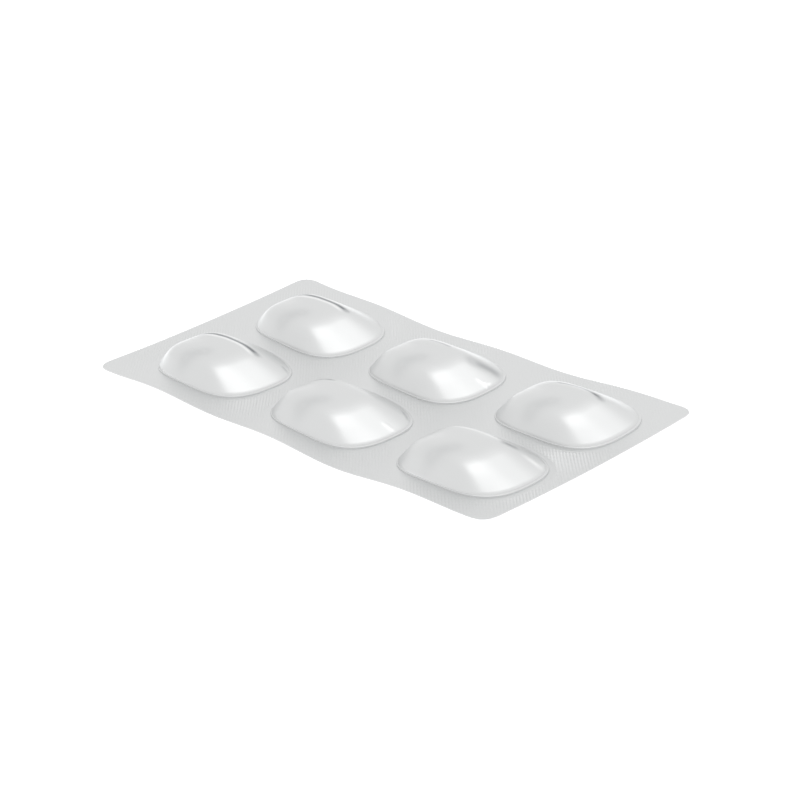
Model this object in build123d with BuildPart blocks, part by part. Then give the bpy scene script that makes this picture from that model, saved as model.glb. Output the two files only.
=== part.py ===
"""A sealed foil pack with six tablet cavities, in three columns and two rows.

The formed foil, the lid foil and what they hold are one solid, because the pack is
heat-sealed shut and opaque. All lengths are in millimetres, +Z is up, the pack lies on
its lid foil, and the origin is at the middle of the underside.
"""
import os
from math import cos, pi, sin

from build123d import *

# Driving dimensions: the sheet grows with its cavities, the gaps between them and its rim
COLUMNS = 3
ROWS = 2
CAVITY_LENGTH = 26.6  # along X, at the foot of the dome
CAVITY_WIDTH = 21.9  # along Y, at the foot of the dome
CAVITY_HEIGHT = 5.3  # from the foil to the top of the roof
FOOT_SQUARENESS = 2.8  # exponent of the foot's outline: 2 is an ellipse, more is squarer
ROOF_SQUARENESS = 3.7  # exponent of the roof's outline
ROOF_SHARE = 0.5  # length and width of the flat roof as a share of the foot's
ROOF_SHIFT = (-1.0, -2.3)  # the roof lies off the middle of the foot
COLUMN_GAP = 6.7  # sealed web between two columns
ROW_GAP = 4.1  # sealed web between the rows
END_RIM = 5.9  # sealed web outside the end columns, at each end on average
SIDE_RIM = 5.05  # sealed web outside the rows, at each side on average
CAVITY_SHIFT = (1.7, 0.0)  # the cavities sit off the middle, so one rim is wider
SHEET_CORNER = 3.4  # plan radius of the sheet's corners
FOIL = 0.2  # formed foil and lid foil together

# Sections of a dome: share of the foot's outline, and of the height. The first is under
# the foil, so that each dome meets the waves all round. Straight walls then rise to a
# rounded shoulder and a nearly flat roof.
DOME_SECTIONS = [
    (1.2, -0.33), (1, 0.02), (0.82, 0.35), (0.6, 0.79), (0.54, 0.89), (0.48, 0.96), (0.4, 0.98), (0.08, 1)
]
OUTLINE_POINTS = 24  # points of each section's smooth outline

# Waves of the sheet: heights in mm that the foil rises and falls by
BOW = 1.44  # both ends stand higher than the middle
SIDE_RISE = 0.57  # both long edges stand higher than the middle
SIDE_RISE_GROWTH = 0.13  # and more so towards +X
TWIST = -0.28
END_LEAN = 0.44  # the ends tip down towards -Y
# Each wave's height in the middle, its lean across Y and its growth towards the long edges
COLUMN_WAVE = (0.38, -0.08, -0.09)  # a crest at each column
GAP_WAVE = (-0.19, 0.13, 0.26)  # the same wave, a quarter turn later
LONG_WAVE = (-0.06, 0.16, -0.05)  # a hollow at one gap and a crest at the other

# What follows from them
COLUMN_PITCH = CAVITY_LENGTH + COLUMN_GAP
ROW_PITCH = CAVITY_WIDTH + ROW_GAP
LENGTH = COLUMNS * COLUMN_PITCH - COLUMN_GAP + 2 * END_RIM
WIDTH = ROWS * ROW_PITCH - ROW_GAP + 2 * SIDE_RIM
GRID_STEP = 2.5  # spacing of the points that carry the waves


def wave(x, y):
    """Height of the lid foil's underside at (x, y), measured from the flat sheet."""
    along = x / (LENGTH / 2)
    across = y / (WIDTH / 2)
    turn = 2 * pi * x / COLUMN_PITCH

    def swell(middle, lean, growth):
        return middle + lean * across + growth * across**2

    rise = BOW * along**2 + SIDE_RISE * across**2 + SIDE_RISE_GROWTH * along * across**2
    rise += TWIST * along * across + END_LEAN * along**2 * across
    rise += swell(*COLUMN_WAVE) * cos(turn) + swell(*GAP_WAVE) * sin(turn)
    return rise + swell(*LONG_WAVE) * sin(turn / 2)


def steps(extent):
    """Evenly spaced places from one edge to the other, a little past both."""
    count = round(extent / GRID_STEP) + 2
    return [extent * (i / (count - 1) - 0.5) * (1 + 2 / count) for i in range(count)]


def roof_blend(share):
    """How far a section has gone from the foot, at 0, to the roof, at 1."""
    return min((1 - share) / (1 - ROOF_SHARE), 1)


def dome_outline(share):
    """Points of one section of a dome: a superellipse, which has no corners."""
    power = FOOT_SQUARENESS + roof_blend(share) * (ROOF_SQUARENESS - FOOT_SQUARENESS)
    points = []
    for i in range(OUTLINE_POINTS):
        angle = 2 * pi * i / OUTLINE_POINTS
        c, s = cos(angle), sin(angle)
        size = share * (abs(c) ** power + abs(s) ** power) ** (-1 / power)
        points.append((size * c * CAVITY_LENGTH / 2, size * s * CAVITY_WIDTH / 2))
    return points


def underside():
    """The waved sheet surface, set so that its lowest place inside the outline is at zero."""
    xs = steps(LENGTH)
    ys = steps(WIDTH)
    inside = [wave(x, y) for x in xs for y in ys if abs(x) <= LENGTH / 2 and abs(y) <= WIDTH / 2]
    lowest = min(inside)
    points = [[(x, y, wave(x, y) - lowest) for y in ys] for x in xs]
    return Face.make_surface_from_array_of_points(points, tol=0.01, min_deg=3), lowest


lid_face, lowest = underside()
tallest = max(wave(x, y) for x in steps(LENGTH) for y in steps(WIDTH)) - lowest + 2 * CAVITY_HEIGHT

# The space inside the outline and above the underside, which trims the pack to its edges
with BuildPart() as envelope:
    extrude(lid_face, amount=tallest, dir=(0, 0, 1))
    with BuildSketch():
        RectangleRounded(LENGTH, WIDTH, SHEET_CORNER)
    extrude(amount=tallest, mode=Mode.INTERSECT)

# The foil's upper face over a deep block, and six pillow-shaped domes that start inside the
# block. The envelope then leaves the thin sheet with its domes.
with BuildPart() as blister_pack:
    extrude(Pos(0, 0, FOIL) * lid_face, amount=CAVITY_HEIGHT, dir=(0, 0, -1))
    for place in GridLocations(COLUMN_PITCH, ROW_PITCH, COLUMNS, ROWS).locations:
        x, y = place.position.X + CAVITY_SHIFT[0], place.position.Y + CAVITY_SHIFT[1]
        foot = wave(x, y) - lowest + FOIL
        for share, height in DOME_SECTIONS:
            lean_x, lean_y = roof_blend(share) * ROOF_SHIFT[0], roof_blend(share) * ROOF_SHIFT[1]
            middle = (x + lean_x, y + lean_y, foot + height * CAVITY_HEIGHT)
            with BuildSketch(Plane(middle)):
                with BuildLine():
                    Spline(*dome_outline(share), periodic=True)
                make_face()
        loft(ruled=True)
    add(envelope.part, mode=Mode.INTERSECT)

blister_pack.part.label = "blister_pack"
os.makedirs("parts", exist_ok=True)
export_step(blister_pack.part, "parts/blister_pack.step")
print("sheet", round(LENGTH, 2), "x", round(WIDTH, 2), "volume", round(blister_pack.part.volume, 1))
print("solids", len(blister_pack.part.solids()), "box", blister_pack.part.bounding_box())
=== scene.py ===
# %% [markdown]
# # A foil blister pack, from its frame to its finish
#
# The pack is two sheets of aluminium foil, heat-sealed to each other round six cavities.
# The upper sheet was cold-formed: a punch pressed each cavity into it with no heat, which
# leaves smooth, pillow-shaped domes with a few soft creases. The seal between the two
# sheets was made by a roller with a fine diamond knurl, and the sheet came out gently
# waved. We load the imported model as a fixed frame, and everything else is built round it.

from math import cos, pi, radians, sin

import bpy
import numpy as np
from mathutils import Matrix, Vector, noise


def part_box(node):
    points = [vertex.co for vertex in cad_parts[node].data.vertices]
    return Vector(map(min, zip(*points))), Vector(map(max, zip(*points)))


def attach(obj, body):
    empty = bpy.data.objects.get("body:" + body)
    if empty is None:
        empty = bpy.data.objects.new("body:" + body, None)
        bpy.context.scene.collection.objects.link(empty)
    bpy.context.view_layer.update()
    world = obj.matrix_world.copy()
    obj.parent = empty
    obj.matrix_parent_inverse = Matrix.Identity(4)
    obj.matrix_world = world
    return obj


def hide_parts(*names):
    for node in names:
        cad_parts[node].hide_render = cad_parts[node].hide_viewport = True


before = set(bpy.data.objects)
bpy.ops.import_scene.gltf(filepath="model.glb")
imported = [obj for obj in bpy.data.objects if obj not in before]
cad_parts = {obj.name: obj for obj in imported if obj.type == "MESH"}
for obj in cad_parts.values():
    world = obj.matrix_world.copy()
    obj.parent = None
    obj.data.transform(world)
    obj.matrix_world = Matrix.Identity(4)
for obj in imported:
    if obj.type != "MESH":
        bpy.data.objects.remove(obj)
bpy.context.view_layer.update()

# %% [markdown]
# ## Sizes
#
# Lengths are written in millimetres, as on the tool drawing of a forming plate, and turned
# to metres by one factor. The length and width come from the frame. The rest repeats
# the named sizes of the construction, so that the foil lies where the solid is.

# %% Sizes of the pack
MM = 0.001
node_low, node_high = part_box("blister_pack")
LENGTH = (node_high.x - node_low.x) / MM
WIDTH = (node_high.y - node_low.y) / MM

COLUMNS, ROWS = 3, 2
COLUMN_PITCH, ROW_PITCH = 33.3, 26.0
CAVITY_LENGTH, CAVITY_WIDTH, CAVITY_HEIGHT = 26.6, 21.9, 5.3
FOOT_SQUARENESS, ROOF_SQUARENESS = 2.8, 3.7     # exponents of the outlines: 2 is an ellipse
ROOF_SHARE = 0.5        # length and width of the flat roof as a share of the foot's
ROOF_SHIFT = (-1.0, -2.3)       # the roof lies off the middle of the foot
CAVITY_SHIFT = (1.7, 0.0)
SHEET_CORNER = 3.4
FOIL = 0.2
print("sheet", round(LENGTH, 2), "x", round(WIDTH, 2), "mm")

# %% [markdown]
# The waves of the sheet are a formula, the same as in the construction: both ends rise,
# and between them the foil swells at each column and dips at each gap. One function gives
# the height anywhere, so the sheet and the domes are bent by the same waves.

# %% The waves
BOW, SIDE_RISE, SIDE_RISE_GROWTH, TWIST, END_LEAN = 1.44, 0.57, 0.13, -0.28, 0.44
COLUMN_WAVE = (0.38, -0.08, -0.09)
GAP_WAVE = (-0.19, 0.13, 0.26)
LONG_WAVE = (-0.06, 0.16, -0.05)


def flat_wave(x, y):
    """Height of the lid foil above the flat sheet, in mm, for arrays of places in mm."""
    along, across, turn = 2 * x / LENGTH, 2 * y / WIDTH, 2 * pi * x / COLUMN_PITCH
    swell = lambda wave: wave[0] + wave[1] * across + wave[2] * across**2
    rise = BOW * along**2 + SIDE_RISE * across**2 + SIDE_RISE_GROWTH * along * across**2
    rise = rise + TWIST * along * across + END_LEAN * along**2 * across
    rise = rise + swell(COLUMN_WAVE) * np.cos(turn) + swell(GAP_WAVE) * np.sin(turn)
    return rise + swell(LONG_WAVE) * np.sin(turn / 2)


survey = np.meshgrid(np.linspace(-LENGTH / 2, LENGTH / 2, 211), np.linspace(-WIDTH / 2, WIDTH / 2, 117))
LOWEST = float(flat_wave(*survey).min())


def wave(x, y):
    """Height of the foil's underside above the surface that the pack lies on."""
    return flat_wave(x, y) - LOWEST


print("the waves rise by", round(float(wave(*survey).max()), 2), "mm")

# %% [markdown]
# ## Small helpers
#
# Operators act on whatever is selected, so each piece starts from an empty selection.
# Reading and writing all vertices at once as an array keeps the fine meshes quick.

# %% Helpers


def fresh_selection():
    """Leaves object mode with nothing selected."""
    if bpy.context.object and bpy.context.object.mode != "OBJECT":
        bpy.ops.object.mode_set(mode="OBJECT")
    bpy.ops.object.select_all(action="DESELECT")


def work_on(piece):
    """Makes one piece the only selected and active object."""
    fresh_selection()
    piece.select_set(True)
    bpy.context.view_layer.objects.active = piece


def read_points(piece):
    """The vertices of a piece as an array, in mm."""
    points = np.empty(len(piece.data.vertices) * 3)
    piece.data.vertices.foreach_get("co", points)
    return points.reshape(-1, 3) / MM


def write_points(piece, points):
    """Moves the vertices of a piece to an array of places in mm."""
    piece.data.vertices.foreach_set("co", (points * MM).ravel())
    piece.data.update()


def apply_modifier(piece, kind, **settings):
    """Adds one modifier with its settings and applies it."""
    work_on(piece)
    modifier = piece.modifiers.new(kind.title(), kind)
    for name, value in settings.items():
        setattr(modifier, name, value)
    bpy.ops.object.modifier_apply(modifier=modifier.name)


def smoothstep(low, high, value):
    """0 below low, 1 above high, and an even slope between."""
    t = np.clip((value - low) / (high - low), 0, 1)
    return t * t * (3 - 2 * t)


cavity_centres = [
    (
        (column - (COLUMNS - 1) / 2) * COLUMN_PITCH + CAVITY_SHIFT[0],
        (row - (ROWS - 1) / 2) * ROW_PITCH + CAVITY_SHIFT[1],
    )
    for row in range(ROWS)
    for column in range(COLUMNS)
]
print("cavities at", cavity_centres)

# %% [markdown]
# ## The sealed sheet
#
# A knurl could be a bump in the material, but it is the pack's most telling detail, so
# here it is real. A grid whose points go up and down in turn, like a chess board, makes
# square pits that stand on their corners, which is what a diamond knurl roller leaves. Its
# step follows from the pitch of the roller: the lines run diagonally, so the step is the
# pitch divided by the root of two.

# %% The sheet as a flat grid
KNURL_PITCH = 0.585     # from one diagonal line to the next
grid_step = KNURL_PITCH / 2**0.5
grid_columns = round(LENGTH / grid_step)
grid_rows = round(WIDTH / grid_step)

fresh_selection()
bpy.ops.mesh.primitive_grid_add(x_subdivisions=grid_columns, y_subdivisions=grid_rows, size=1)
sheet = bpy.context.object
sheet.name = "blister_foil"
sheet.scale = (LENGTH * MM, WIDTH * MM, 1)
bpy.ops.object.transform_apply(scale=True)
print("sheet grid", grid_columns, "x", grid_rows, "quads")

# %% [markdown]
# Each quad is split from high corner to high corner, because that edge is the ridge of
# the knurl. High corners alternate, so two ways of splitting alternate too.

# %% Split the quads along the ridges
flat_points = read_points(sheet)
column_of = np.rint((flat_points[:, 0] + LENGTH / 2) / (LENGTH / grid_columns)).astype(int)
row_of = np.rint((flat_points[:, 1] + WIDTH / 2) / (WIDTH / grid_rows)).astype(int)
is_high = (column_of + row_of) % 2 == 0


def split_quads(piece, chosen, method):
    """Cuts the chosen quads into triangles, all along one diagonal."""
    work_on(piece)
    bpy.ops.object.mode_set(mode="EDIT")
    bpy.ops.mesh.select_mode(type="FACE")
    bpy.ops.mesh.select_all(action="DESELECT")
    bpy.ops.object.mode_set(mode="OBJECT")
    piece.data.polygons.foreach_set("select", chosen)
    bpy.ops.object.mode_set(mode="EDIT")
    bpy.ops.mesh.quads_convert_to_tris(quad_method=method)
    bpy.ops.object.mode_set(mode="OBJECT")


split_quads(sheet, [bool(is_high[face.vertices[0]]) for face in sheet.data.polygons], "FIXED")
split_quads(sheet, [len(face.vertices) == 4 for face in sheet.data.polygons], "FIXED_ALTERNATE")
print("sheet triangles", len(sheet.data.polygons))

# %% [markdown]
# The die that cut the pack out has rounded corners. A square corner of the grid becomes a
# round one when each point's larger distance from the corner's centre is made its radius.

# %% Round the corners
def rounded(points):
    """Pulls the points of the four corner squares into quarter circles."""
    centre = np.array([LENGTH / 2 - SHEET_CORNER, WIDTH / 2 - SHEET_CORNER])
    offset = np.maximum(np.abs(points[:, :2]) - centre, 0)
    radius = offset.max(axis=1)
    reach = np.hypot(offset[:, 0], offset[:, 1])
    shrink = np.where(reach > 0, radius / np.maximum(reach, 1e-9), 1)
    offset = offset * shrink[:, None]
    placed = points.copy()
    placed[:, :2] = np.sign(points[:, :2]) * (np.minimum(np.abs(points[:, :2]), centre) + offset)
    return placed


sheet_points = rounded(flat_points)
print("corners rounded to", SHEET_CORNER, "mm")

# %% [markdown]
# The knurl stops short of each cavity, where the sealing plate has a relief, and it is
# pressed unevenly, deep in some places and faint in others. How far a point lies from
# a cavity is told by the cavity's own outline: 1 on its foot, less inside, more outside.

# %% Knurl and waves
KNURL_DEPTH = 0.13     # from pit to ridge
KNURL_RELIEF = (1.06, 1.12)     # the knurl fades in between these outlines
FAINTEST_PRESS = 0.15   # share of the full depth that the plate pressed everywhere
PATCH_PRESS = 0.25      # what a chance patch adds to it
PATCH_SIZE = 14.0       # width of the chance patches
PATCH_LAYER = 0.37      # the layer of the noise that they are read from
DEEP_PRESS = 0.8        # what the places that the plate pressed hardest add to it
# Middle and radius in mm of each place that the plate pressed hardest
DEEP_PATCHES = [
    (-50, -14, 7), (-16.5, -20, 6), (-20, 20, 7), (32, 27, 7), (46, 0, 7), (49, -17, 6), (1, 27, 5),
]


def outline_value(x, y):
    """1 on the foot of the nearest cavity, 0 at its middle, in arrays of mm."""
    values = []
    for centre_x, centre_y in cavity_centres:
        along = np.abs(x - centre_x) / (CAVITY_LENGTH / 2)
        across = np.abs(y - centre_y) / (CAVITY_WIDTH / 2)
        values.append((along**FOOT_SQUARENESS + across**FOOT_SQUARENESS) ** (1 / FOOT_SQUARENESS))
    return np.min(values, axis=0)


pressed = smoothstep(*KNURL_RELIEF, outline_value(sheet_points[:, 0], sheet_points[:, 1]))
patches = np.array([noise.noise(Vector((x, y, PATCH_LAYER)) / PATCH_SIZE) for x, y, z in sheet_points])
deep = PATCH_PRESS * smoothstep(-0.3, 0.3, patches)
for centre_x, centre_y, radius in DEEP_PATCHES:
    away = np.hypot(sheet_points[:, 0] - centre_x, sheet_points[:, 1] - centre_y)
    deep += DEEP_PRESS * np.exp(-away**2 / radius**2)
pressed *= np.minimum(FAINTEST_PRESS + deep, 1)
sheet_points[:, 2] = wave(sheet_points[:, 0], sheet_points[:, 1]) + FOIL
sheet_points[:, 2] += pressed * np.where(is_high, 0.0, -KNURL_DEPTH)
write_points(sheet, sheet_points)
apply_modifier(sheet, "SOLIDIFY", thickness=FOIL * MM, offset=-1)
print("sheet with both faces", len(sheet.data.polygons), "triangles")

# %% [markdown]
# ## The domes
#
# Each dome starts as a circle, its foot. The foot's edges are extruded ring by ring,
# each ring raised and drawn in along one profile, and the last ring is merged into the
# crown. Rings listed one by one follow the foil's folds far better than a scaled sphere.
# The first ring is a short skirt that reaches into the sheet, for a clean joint.

# %% The profile of a dome
RING_POINTS = 160
SKIRT_DEPTH = 0.12      # how far the skirt reaches below the foil's upper face
# Share of the foot's outline that each ring has, and its height above the foil in mm. A
# small ledge runs round the foot, where the punch held the foil down.
FOOT_RINGS = [(1.0, 0.05), (0.994, 0.27), (0.983, 0.34), (0.966, 0.36)]
# Straight walls rise to a rounded shoulder and a nearly flat roof: shares of the height
WALL_SHARES = (0.0, 0.2, 0.34, 0.43, 0.51, 0.575, 0.635, 0.72, 0.82, 0.92, 0.96)
WALL_HEIGHTS = (1.0, 0.995, 0.98, 0.945, 0.88, 0.805, 0.71, 0.56, 0.37, 0.18, 0.105)
WALL_RINGS = 34
FIRST_WALL_RING, LAST_WALL_RING = 0.955, 0.02   # shares of the foot's outline


def smooth_curve(places, values, at):
    """A curve through the values at their places, with no kink at any of them."""
    places, values = np.array(places), np.array(values)
    slopes = np.gradient(values, places)
    i = np.clip(np.searchsorted(places, at) - 1, 0, len(places) - 2)
    span = places[i + 1] - places[i]
    t = (at - places[i]) / span
    start = values[i] * (1 + 2 * t) + slopes[i] * span * t
    end = values[i + 1] * (3 - 2 * t) - slopes[i + 1] * span * (1 - t)
    return start * (1 - t) ** 2 + end * t**2


wall_shares = np.linspace(FIRST_WALL_RING, LAST_WALL_RING, WALL_RINGS)
wall_heights = smooth_curve(WALL_SHARES, WALL_HEIGHTS, wall_shares) * CAVITY_HEIGHT
rings = FOOT_RINGS + [(float(a), float(h)) for a, h in zip(wall_shares, wall_heights)]
print("each dome has", len(rings), "rings")

# %% [markdown]
# The rings are extruded straight up on a round foot of radius one. Only their heights are
# real lengths yet, so one pattern serves for all six cavities.

# %% Make one dome, straight and flat on its foot


def extrude_ring(share, last_share, rise):
    """Extrudes the selected ring of edges, raises it and draws it in."""
    bpy.ops.mesh.extrude_edges_move(TRANSFORM_OT_translate={"value": (0, 0, rise * MM)})
    bpy.ops.transform.resize(value=(share / last_share, share / last_share, 1), center_override=(0, 0, 0))


def make_dome():
    """One dome on a unit circle: its plan is still round, and its rings have their heights."""
    fresh_selection()
    bpy.ops.mesh.primitive_circle_add(vertices=RING_POINTS, radius=1, location=(0, 0, 0))
    dome = bpy.context.object
    bpy.ops.object.mode_set(mode="EDIT")
    bpy.ops.mesh.select_mode(type="EDGE")
    bpy.ops.mesh.select_all(action="SELECT")
    bpy.ops.transform.translate(value=(0, 0, -SKIRT_DEPTH * MM))
    last_share, last_height = 1.0, -SKIRT_DEPTH
    for share, height in rings:
        extrude_ring(share, last_share, height - last_height)
        last_share, last_height = share, height
    bpy.ops.mesh.merge(type="CENTER")
    bpy.ops.object.mode_set(mode="OBJECT")
    return dome


first_dome = make_dome()
first_dome.name = "dome_pattern"
print("the pattern dome has", len(first_dome.data.polygons), "faces")

# %% [markdown]
# The round pattern is then drawn out to the foot's superellipse. Towards the roof the
# outline gets squarer and moves aside, because the tablet doesn't lie in the middle.

# %% Shape the pattern
SOFT_SHOULDER = 0.6     # past this share of the climb, the change of outline levels off
# Only the heights of the pattern are lengths, so its plan isn't turned to millimetres
pattern = read_points(first_dome) * [MM, MM, 1]
share = np.hypot(pattern[:, 0], pattern[:, 1])
c, s = np.where(share > 1e-6, pattern[:, :2].T / np.maximum(share, 1e-9), 0)
climb = (1 - share) / (1 - ROOF_SHARE)
rest = 1 - SOFT_SHOULDER
levelling = 1 - rest * np.exp(-(climb - SOFT_SHOULDER) / rest)
roof_blend = np.where(climb < SOFT_SHOULDER, np.maximum(climb, 0), levelling)
power = FOOT_SQUARENESS + roof_blend * (ROOF_SQUARENESS - FOOT_SQUARENESS)
stretch = (np.abs(c) ** power + np.abs(s) ** power + 1e-12) ** (-1 / power)
stretch = np.where(share > 1e-6, stretch, 0)
pattern[:, 0] = share * stretch * c * CAVITY_LENGTH / 2 + roof_blend * ROOF_SHIFT[0]
pattern[:, 1] = share * stretch * s * CAVITY_WIDTH / 2 + roof_blend * ROOF_SHIFT[1]
write_points(first_dome, pattern)
print("the pattern is", np.round(np.ptp(pattern, axis=0), 2), "mm")

# %% [markdown]
# No two cavities came out alike. Where the foil was gripped it folded into fine creases on
# the far shoulders, and handling left a few nicks. Each mark is a line on the plan of its
# cavity. It pushes the foil in or out, and the finish reads it again later: painted shade
# goes into the dark creases, and a painted highlight goes along the bright folds and glints.

# %% The marks on each cavity
MARK_FADE = (0.2, 1.0)  # marks fade in between these heights above the foil, in mm
# Column and row of the cavity, points in mm from its middle, half the mark's width in mm,
# its depth in mm, and its painted shade, from -1, a painted highlight, to 1, dark painted shade
MARKS = [
    (0, 0, [(-7.2, 0.4), (-5.0, 2.0), (-1.5, 2.9), (2.5, 3.3), (6.2, 3.2)], 0.55, 0.08, 1.0),
    (0, 0, [(-6.0, 0.4), (-2.0, 1.7), (2.0, 2.2), (5.8, 2.0)], 0.35, -0.05, -0.8),
    (0, 0, [(9.4, 7.0), (11.8, 6.7)], 0.25, 0.06, 0.4),
    (0, 1, [(-7.6, 0.2), (-6.0, 1.8), (-2.4, 2.7), (2.0, 3.1), (5.0, 2.9)], 0.55, 0.08, 1.0),
    (0, 1, [(-6.5, 0.0), (-2.5, 1.4), (1.5, 1.9), (4.6, 1.7)], 0.35, -0.05, -0.8),
    (1, 1, [(-4.1, 2.4), (-1.5, 2.8), (1.2, 2.6)], 0.28, 0.06, 0.55),
    (1, 1, [(7.0, 2.8), (9.5, 5.2), (11.6, 6.2)], 1.1, 0.12, 0.45),
    (1, 1, [(10.6, 0.2), (11.8, 0.9), (12.9, 0.5)], 0.25, -0.08, -1.0),
    (1, 1, [(11.8, 0.9), (12.2, 2.2)], 0.22, -0.06, -0.9),
    (1, 0, [(-7.6, 0.6), (-6.2, 1.9), (-4.4, 2.5)], 0.32, 0.08, 0.75),
    (1, 0, [(10.5, 0.7), (12.6, 1.6)], 0.3, -0.08, -0.7),
    (1, 0, [(8.2, 8.0), (11.4, 6.6)], 0.3, 0.08, 0.4),
    (2, 1, [(-4.5, 2.2), (0.0, 3.3), (4.6, 2.9)], 0.3, 0.07, 0.7),
    (2, 1, [(4.2, 2.9), (5.8, 2.5)], 0.6, 0.1, 0.5),
    (2, 1, [(-2.0, 3.9), (3.5, 4.0)], 0.8, 0.06, 0.25),
    (2, 0, [(-6.5, 2.0), (-1.0, 3.2), (4.0, 3.4)], 0.45, -0.05, -0.5),
    (2, 0, [(4.2, 3.6), (5.4, 4.8)], 0.75, 0.12, 0.5),
    (2, 0, [(8.5, 4.8), (11.0, 5.6)], 0.6, -0.06, -0.7),
]

# On every cavity, the near wall swells a little at one end and sinks beside it. The sunk part
# is painted a little darker as painted shade, and the swollen part a little lighter as a painted
# highlight
MARKS += [
    (column, row, line, half_width, depth, shade_and_highlight)
    for column in range(COLUMNS)
    for row in range(ROWS)
    for line, half_width, depth, shade_and_highlight in [
        ([(-1.6, -8.2), (0.4, -5.2)], 1.7, 0.09, 0.13),
        ([(-7.4, -6.6), (-5.2, -3.4)], 1.5, -0.07, -0.16),
    ]
]


def mark_strength(x, y, line, half_width):
    """1 on a line through its points, fading to 0 at about twice its half width."""
    nearest = np.full(len(x), np.inf)
    for (x0, y0), (x1, y1) in zip(line, line[1:]):
        along = ((x - x0) * (x1 - x0) + (y - y0) * (y1 - y0)) / ((x1 - x0) ** 2 + (y1 - y0) ** 2)
        along = np.clip(along, 0, 1)
        nearest = np.minimum(nearest, np.hypot(x - x0 - along * (x1 - x0), y - y0 - along * (y1 - y0)))
    # The mark tapers off towards both of its ends
    length = sum(np.hypot(x1 - x0, y1 - y0) for (x0, y0), (x1, y1) in zip(line, line[1:]))
    to_end = np.minimum(
        np.hypot(x - line[0][0], y - line[0][1]), np.hypot(x - line[-1][0], y - line[-1][1])
    )
    taper = smoothstep(-half_width, min(2 * half_width, length / 3), to_end)
    return taper * np.exp(-((nearest / half_width) ** 2))


def marks_on(column, row, x, y):
    """Depth in mm and painted shade and highlight of all marks of one cavity, at places in mm from its
    middle.
    """
    depth, shade_and_highlight = np.zeros(len(x)), np.zeros(len(x))
    for mark_column, mark_row, line, half_width, mark_depth, mark_shade_and_highlight in MARKS:
        if (mark_column, mark_row) == (column, row):
            strength = mark_strength(x, y, line, half_width)
            depth += mark_depth * strength
            shade_and_highlight += mark_shade_and_highlight * strength
    return depth, shade_and_highlight


print(len(MARKS), "marks on", COLUMNS * ROWS, "cavities")

# %% [markdown]
# Each cavity gets a copy of the pattern with its own marks, set in its place and bent by
# the waves of the sheet.

# %% Six domes, each with its own mesh
domes = []
for number, (centre_x, centre_y) in enumerate(cavity_centres, start=1):
    work_on(first_dome)
    bpy.ops.object.duplicate()
    dome = bpy.context.object
    dome.name = f"dome_{number}"
    points = read_points(dome)
    depth, shade_and_highlight = marks_on((number - 1) % COLUMNS, (number - 1) // COLUMNS, points[:, 0], points[:, 1])
    points[:, 2] -= depth * smoothstep(*MARK_FADE, points[:, 2])
    points[:, 0] += centre_x
    points[:, 1] += centre_y
    points[:, 2] += wave(points[:, 0], points[:, 1]) + FOIL
    write_points(dome, points)
    domes.append(dome)
work_on(first_dome)
bpy.ops.object.delete()
print(len(domes), "domes")

# %% [markdown]
# ## One sheet of foil
#
# The domes are closed underneath and joined to the sheet with a boolean, which leaves one
# skin with no open edge. Where a dome's base just misses the upper face of the sheet, a
# hair-thin pocket can stay shut inside the foil, out of sight.

# %% Join the domes to the sheet
for dome in domes:
    work_on(dome)
    bpy.ops.object.mode_set(mode="EDIT")
    bpy.ops.mesh.select_mode(type="EDGE")
    bpy.ops.mesh.select_all(action="DESELECT")
    bpy.ops.mesh.select_non_manifold()
    bpy.ops.mesh.edge_face_add()
    bpy.ops.mesh.select_all(action="SELECT")
    bpy.ops.mesh.normals_make_consistent(inside=False)
    bpy.ops.object.mode_set(mode="OBJECT")

work_on(domes[0])
for dome in domes[1:]:
    dome.select_set(True)
bpy.ops.object.join()
all_domes = bpy.context.object
apply_modifier(sheet, "BOOLEAN", operation="UNION", solver="EXACT", object=all_domes)
work_on(all_domes)
bpy.ops.object.delete()
print("foil", len(sheet.data.polygons), "faces")

# %% [markdown]
# The stretched domes shine softly, so they are shaded smooth. The facets of the knurl are
# shaded flat, because each one catches the light by itself.

# %% Smooth domes and a faceted knurl
SHARP_FOLD = 32         # degrees: a sharper fold than this stays an edge
work_on(sheet)
bpy.ops.object.shade_smooth_by_angle(angle=radians(SHARP_FOLD))
middles = np.empty(len(sheet.data.polygons) * 3)
sheet.data.polygons.foreach_get("center", middles)
middles = middles.reshape(-1, 3) / MM
on_dome = outline_value(middles[:, 0], middles[:, 1]) < 1.0
on_dome &= middles[:, 2] > wave(middles[:, 0], middles[:, 1]) + FOIL / 2
sheet.data.polygons.foreach_set("use_smooth", on_dome)
bpy.ops.object.mode_set(mode="EDIT")
bpy.ops.mesh.select_mode(type="EDGE")
bpy.ops.mesh.select_all(action="DESELECT")
bpy.ops.mesh.select_non_manifold()
bpy.ops.object.mode_set(mode="OBJECT")
print("edges left open", sum(edge.select for edge in sheet.data.edges))

# %% [markdown]
# The finish has to know where the marks are. Their painted shade and painted highlight are
# written on the points of the foil, and the cut edge all round gets a painted highlight.

# %% Write the painted shade and highlight of the marks on the foil
PAINTED_EDGE_HIGHLIGHT = 0.8        # how bright the painted highlight on the cut edge is
EDGE_BAND = (0.05, 0.45)        # it fades out between these distances from the edge, in mm
final_points = read_points(sheet)
painted_shade_and_highlight = np.zeros(len(final_points))
above_foil = final_points[:, 2] - wave(final_points[:, 0], final_points[:, 1]) - FOIL
for number, (centre_x, centre_y) in enumerate(cavity_centres):
    depth, shade_and_highlight = marks_on(
        number % COLUMNS, number // COLUMNS, final_points[:, 0] - centre_x, final_points[:, 1] - centre_y
    )
    painted_shade_and_highlight += shade_and_highlight * smoothstep(*MARK_FADE, above_foil)
edge_x = LENGTH / 2 - np.abs(final_points[:, 0])
edge_y = WIDTH / 2 - np.abs(final_points[:, 1])
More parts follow.
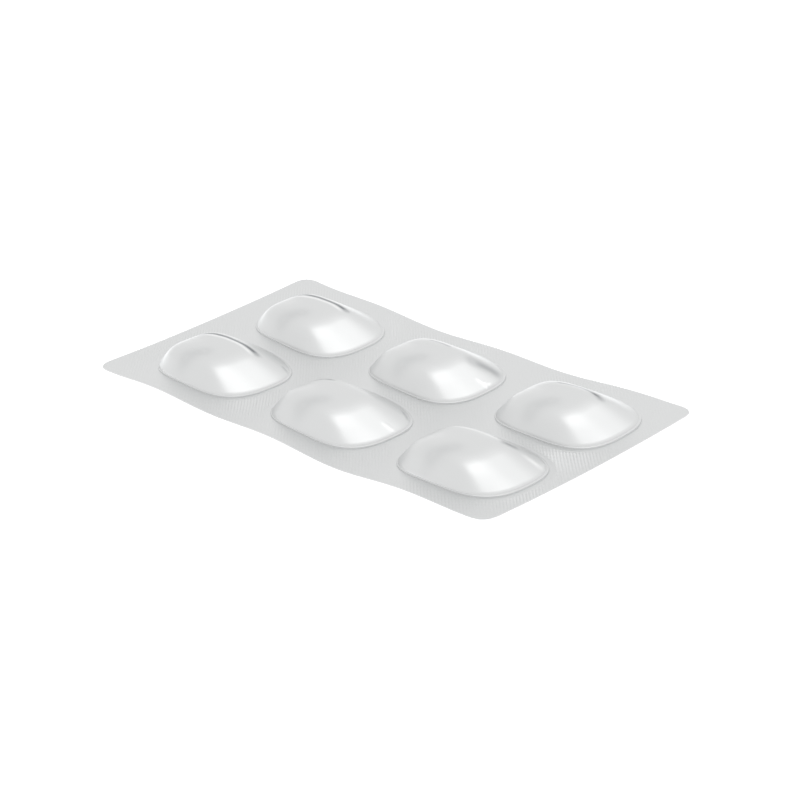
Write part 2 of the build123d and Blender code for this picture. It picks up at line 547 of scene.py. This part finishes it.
# The cut edge all round is lightened as a painted highlight
painted_shade_and_highlight -= PAINTED_EDGE_HIGHLIGHT * (1 - smoothstep(*EDGE_BAND, np.minimum(edge_x, edge_y)))
attribute = sheet.data.attributes.new("painted_shade_and_highlight", "FLOAT", "POINT")
attribute.data.foreach_set("value", painted_shade_and_highlight)
print("dullness from", round(float(painted_shade_and_highlight.min()), 2), "to", round(float(painted_shade_and_highlight.max()), 2))

# %% [markdown]
# ## The foil's finish
#
# Cold-formed packs are made of soft aluminium laminated between plastic films, and its
# outer side is the matte side of the rolled foil: bright but satin, so it mirrors
# light only as soft glows.

# %% Material helpers


def linear(hex_colour):
    """An sRGB hex colour as the linear colour that a shader reads."""
    values = [int(hex_colour[i : i + 2], 16) / 255 for i in (1, 3, 5)]
    return tuple(v / 12.92 if v <= 0.04045 else ((v + 0.055) / 1.055) ** 2.4 for v in values) + (1.0,)


def add_node(tree, kind, settings=(), inputs=(), links=()):
    """Adds a node, sets its properties and sockets, and links sockets to other nodes' outputs."""
    node = tree.nodes.new(kind)
    for name, value in dict(settings).items():
        setattr(node, name, value)
    for name, value in dict(inputs).items():
        node.inputs[name].default_value = value
    for name, output in dict(links).items():
        tree.links.new(output, node.inputs[name])
    return node


def new_material(name):
    """An empty node material and its tree."""
    material = bpy.data.materials.new(name)
    material.use_nodes = True
    material.node_tree.nodes.clear()
    return material, material.node_tree


def background_rays(tree):
    """1 for rays that come from the camera, off metal or through glass, and 0 for all others."""
    rays = add_node(tree, "ShaderNodeLightPath")
    total = rays.outputs["Is Camera Ray"]
    for name in ("Is Glossy Ray", "Is Transmission Ray"):
        total = add_node(
            tree, "ShaderNodeMath", {"operation": "MAXIMUM"}, links={0: total, 1: rays.outputs[name]}
        ).outputs["Value"]
    return total


# %% [markdown]
# A colour ramp turns the painted shade and highlight of a mark into a colour: a painted
# highlight at one end, the foil's own colour in the middle, and painted shade in a crease.
# A faint ripple keeps the reflections from being perfect.

# %% Cold-formed aluminium foil
# A painted highlight, the foil's own colour, and the painted shade in the creases
PAINTED_HIGHLIGHT, PLAIN, PAINTED_CREASE_SHADE = "#FAFAFA", "#DBDCDC", "#6C7074"
RIPPLE_SIZE, RIPPLE_DEPTH = 2.5, 0.03   # mm

foil_material, tree = new_material("cold_formed_aluminium_foil")
place = add_node(tree, "ShaderNodeTexCoord")
ripple = add_node(
    tree, "ShaderNodeTexNoise",
    inputs={"Scale": 1 / (RIPPLE_SIZE * MM), "Detail": 3.0, "Roughness": 0.5},
    links={"Vector": place.outputs["Object"]},
)
bump = add_node(
    tree, "ShaderNodeBump",
    inputs={"Strength": 0.25, "Distance": RIPPLE_DEPTH * MM},
    links={"Height": ripple.outputs["Fac"]},
)
# Reads the painted shade and painted highlight written on the foil's points
marks = add_node(tree, "ShaderNodeAttribute", {"attribute_name": "painted_shade_and_highlight"})
ramp_place = add_node(
    tree, "ShaderNodeMapRange",
    inputs={"From Min": -1.0, "From Max": 1.0},
    links={"Value": marks.outputs["Fac"]},
)
foil_and_painted_shade = add_node(tree, "ShaderNodeValToRGB", links={"Fac": ramp_place.outputs["Result"]})
ramp = foil_and_painted_shade.color_ramp
ramp.elements[0].color = linear(PAINTED_HIGHLIGHT)
ramp.elements[1].color = linear(PAINTED_CREASE_SHADE)
ramp.elements.new(0.5).color = linear(PLAIN)
metal = add_node(
    tree, "ShaderNodeBsdfPrincipled", inputs={"Metallic": 1.0, "Roughness": 0.38},
    links={"Normal": bump.outputs["Normal"], "Base Color": foil_and_painted_shade.outputs["Color"]},
)
add_node(tree, "ShaderNodeOutputMaterial", links={"Surface": metal.outputs["BSDF"]})
sheet.data.materials.clear()
sheet.data.materials.append(foil_material)
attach(sheet, "root")
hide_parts("blister_pack")
print("the foil rides on root, in the finish", foil_material.name)

# %% [markdown]
# ## Floor, light and camera
#
# The floor and the world give the background its white, through the rays that come from
# the camera, off metal or through glass. The world reads 1 to them. The floor's glow adds
# to the light that falls on it and reads about 1.7, which drowns the pack's shadow.

# %% Floor
fresh_selection()
bpy.ops.mesh.primitive_plane_add(size=4, location=(0, 0, -0.0001))
floor = bpy.context.object
floor.name = "floor"
floor_material, tree = new_material("white_paper_sweep")
paper = add_node(tree, "ShaderNodeBsdfDiffuse", inputs={"Color": linear("#F2F2F2")})
glow = add_node(tree, "ShaderNodeEmission", inputs={"Color": (1, 1, 1, 1), "Strength": 0.8})
both = add_node(tree, "ShaderNodeAddShader")
tree.links.new(paper.outputs["BSDF"], both.inputs[0])
tree.links.new(glow.outputs["Emission"], both.inputs[1])
seen = add_node(tree, "ShaderNodeMixShader", links={"Fac": background_rays(tree)})
tree.links.new(paper.outputs["BSDF"], seen.inputs[1])
tree.links.new(both.outputs["Shader"], seen.inputs[2])
add_node(tree, "ShaderNodeOutputMaterial", links={"Surface": seen.outputs["Shader"]})
floor.data.materials.append(floor_material)
print("a white floor under the pack")

# %% [markdown]
# The world is plain white for those rays, and a slightly cooler pale room for all others.

# %% World
world = bpy.data.worlds.new("studio")
bpy.context.scene.world = world
world.use_nodes = True
tree = world.node_tree
tree.nodes.clear()
room = add_node(tree, "ShaderNodeBackground", inputs={"Color": linear("#F6F8FA"), "Strength": 1.0})
backdrop = add_node(tree, "ShaderNodeBackground", inputs={"Color": (1, 1, 1, 1), "Strength": 1.0})
sky = add_node(tree, "ShaderNodeMixShader", links={"Fac": background_rays(tree)})
tree.links.new(room.outputs["Background"], sky.inputs[1])
tree.links.new(backdrop.outputs["Background"], sky.inputs[2])
add_node(tree, "ShaderNodeOutputWorld", links={"Surface": sky.outputs["Shader"]})
print("a pale room round the pack")

# %% [markdown]
# One long softbox overhead lays a soft glow on the near end of every dome.

# %% Overhead softbox
SOFTBOX_PLACE = (0.25, 0.3, 1.0)        # metres
SOFTBOX_WIDTH, SOFTBOX_LENGTH, SOFTBOX_ENERGY = 0.45, 1.35, 1.4     # metres and watts
fresh_selection()
bpy.ops.object.light_add(type="AREA", location=SOFTBOX_PLACE)
softbox = bpy.context.object
softbox.name = "overhead_softbox"
softbox.data.shape = "RECTANGLE"
softbox.data.size, softbox.data.size_y = SOFTBOX_WIDTH, SOFTBOX_LENGTH
softbox.data.energy = SOFTBOX_ENERGY
print("softbox", SOFTBOX_WIDTH, "x", SOFTBOX_LENGTH, "m at", SOFTBOX_PLACE)

# %% [markdown]
# The camera looks down on one corner of the pack, from a little above it, with a long lens.

# %% Camera
def direction(azimuth, elevation):
    """Unit vector towards a place round the object, in degrees, as the views count them."""
    a, e = radians(azimuth), radians(elevation)
    return Vector((sin(a) * cos(e), -cos(a) * cos(e), sin(e)))


CAMERA_AZIMUTH, CAMERA_ELEVATION, CAMERA_ROLL = 45.295, 24.546, -1.984
CAMERA_DISTANCE = 380.5 * MM
CAMERA_TARGET = Vector((3.63, 0.64, 0)) * MM
CAMERA_LENS = 89.5

backwards = direction(CAMERA_AZIMUTH, CAMERA_ELEVATION)
fresh_selection()
bpy.ops.object.camera_add(location=CAMERA_TARGET + backwards * CAMERA_DISTANCE)
camera = bpy.context.object
camera.rotation_mode = "QUATERNION"
level_right = Vector((cos(radians(CAMERA_AZIMUTH)), sin(radians(CAMERA_AZIMUTH)), 0))
level = Matrix((level_right, backwards.cross(level_right), backwards)).transposed()
roll = Matrix.Rotation(radians(CAMERA_ROLL), 3, "Z")
camera.rotation_quaternion = (level @ roll).to_quaternion()
camera.data.lens = CAMERA_LENS
camera.data.sensor_width = 36
camera.data.clip_start = 0.01
bpy.context.scene.camera = camera
bpy.context.scene.view_settings.view_transform = "Standard"
print("camera at", round(CAMERA_DISTANCE / MM), "mm")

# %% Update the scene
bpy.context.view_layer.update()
